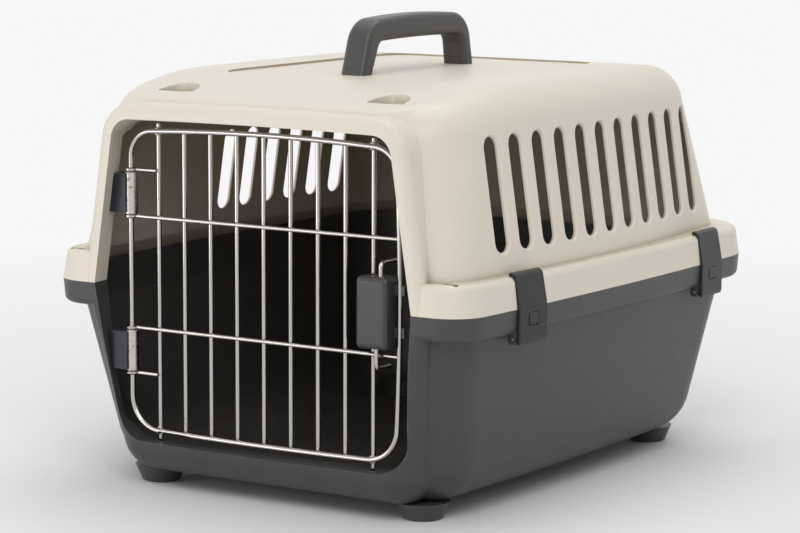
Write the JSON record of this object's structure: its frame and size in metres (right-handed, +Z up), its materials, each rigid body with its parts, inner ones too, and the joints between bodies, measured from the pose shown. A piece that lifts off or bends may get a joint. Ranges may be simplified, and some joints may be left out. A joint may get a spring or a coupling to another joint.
{
  "type": "bird travel carrier",
  "caption": "Two-shell moulded travel carrier for a pet bird, with a latching wire door, slotted sides, hinged side clips, moulded feet and a roof handle",
  "frame": {"origin": "On the ground under the middle of the case, at the centre of the bounding box's bottom", "axes": "+X to the carrier's right seen from the door, +Y from the door to the back wall, +Z up"},
  "size_m": [0.332, 0.388, 0.3023],
  "materials": {
    "upper_shell_plastic": "satin moulded plastic, cream",
    "tray_plastic": "satin moulded plastic, dark grey",
    "handle_plastic": "satin moulded plastic, dark grey",
    "clip_plastic": "satin moulded plastic, dark grey",
    "bracket_plastic": "moulded plastic, blue-black",
    "latch_plastic": "satin moulded plastic, dark grey",
    "sleeve_steel": "rolled steel sheet, lightly spotted",
    "spring_steel": "drawn spring steel",
    "pin_steel": "drawn steel",
    "wire_steel": "satin nickel-plated wire"
  },
  "bodies": {
    "case": {"bottom_tray": "tray_plastic", "top_shell": "upper_shell_plastic", "carry_handle": "handle_plastic", "hinge_bracket_upper": "bracket_plastic", "hinge_bracket_lower": "bracket_plastic", "hinge_sleeve_upper": "sleeve_steel", "hinge_sleeve_lower": "sleeve_steel", "clip_pin_front_right": "pin_steel", "clip_pin_front_left": "pin_steel", "clip_pin_rear_right": "pin_steel", "clip_pin_rear_left": "pin_steel"},
    "door": {"door_frame": "wire_steel", "door_bar_1": "wire_steel", "door_bar_2": "wire_steel", "door_bar_3": "wire_steel", "door_bar_4": "wire_steel", "door_bar_5": "wire_steel", "door_bar_6": "wire_steel", "door_bar_7": "wire_steel", "door_bar_8": "wire_steel", "upper_cross_wire": "wire_steel", "lower_cross_wire": "wire_steel", "upper_stub_wire": "wire_steel", "lower_stub_wire": "wire_steel", "latch_housing_front": "latch_plastic", "latch_housing_back": "latch_plastic", "upper_spring": "spring_steel", "lower_spring": "spring_steel"},
    "upper_bolt_body": {"upper_bolt": "wire_steel"},
    "lower_bolt_body": {"lower_bolt": "wire_steel"},
    "clip_front_right": {"side_clip_front_right": "clip_plastic"},
    "clip_front_left": {"side_clip_front_left": "clip_plastic"},
    "clip_rear_right": {"side_clip_rear_right": "clip_plastic"},
    "clip_rear_left": {"side_clip_rear_left": "clip_plastic"}
  },
  "joints": [
    {"name": "door_hinge", "type": "hinge", "parent": "case", "child": "door", "pos_m": [-0.102, -0.179, 0.14], "axis": [0, 0, -1], "range_deg": [0, 92]},
    {"name": "upper_bolt_slide", "type": "slide", "parent": "door", "child": "upper_bolt_body", "axis": [0, 0, 1], "range_m": [-0.0045, 0.004], "stiffness_N_per_m": 150, "deforming": ["upper_spring"]},
    {"name": "lower_bolt_slide", "type": "slide", "parent": "door", "child": "lower_bolt_body", "axis": [0, 0, 1], "range_m": [-0.004, 0.0045], "stiffness_N_per_m": 150, "deforming": ["lower_spring"]},
    {"name": "clip_front_right_hinge", "type": "hinge", "parent": "case", "child": "clip_front_right", "pos_m": [0.15712, -0.12129, 0.1148], "axis": [0.0475, 0.9989, 0], "range_deg": [0, 95]},
    {"name": "clip_front_left_hinge", "type": "hinge", "parent": "case", "child": "clip_front_left", "pos_m": [-0.15712, -0.12129, 0.1148], "axis": [0.0475, -0.9989, 0], "range_deg": [0, 95]},
    {"name": "clip_rear_right_hinge", "type": "hinge", "parent": "case", "child": "clip_rear_right", "pos_m": [0.15909, 0.11286, 0.1148], "axis": [-0.0307, 0.9995, 0], "range_deg": [0, 95]},
    {"name": "clip_rear_left_hinge", "type": "hinge", "parent": "case", "child": "clip_rear_left", "pos_m": [-0.15909, 0.11286, 0.1148], "axis": [-0.0307, -0.9995, 0], "range_deg": [0, 95]}
  ]
}
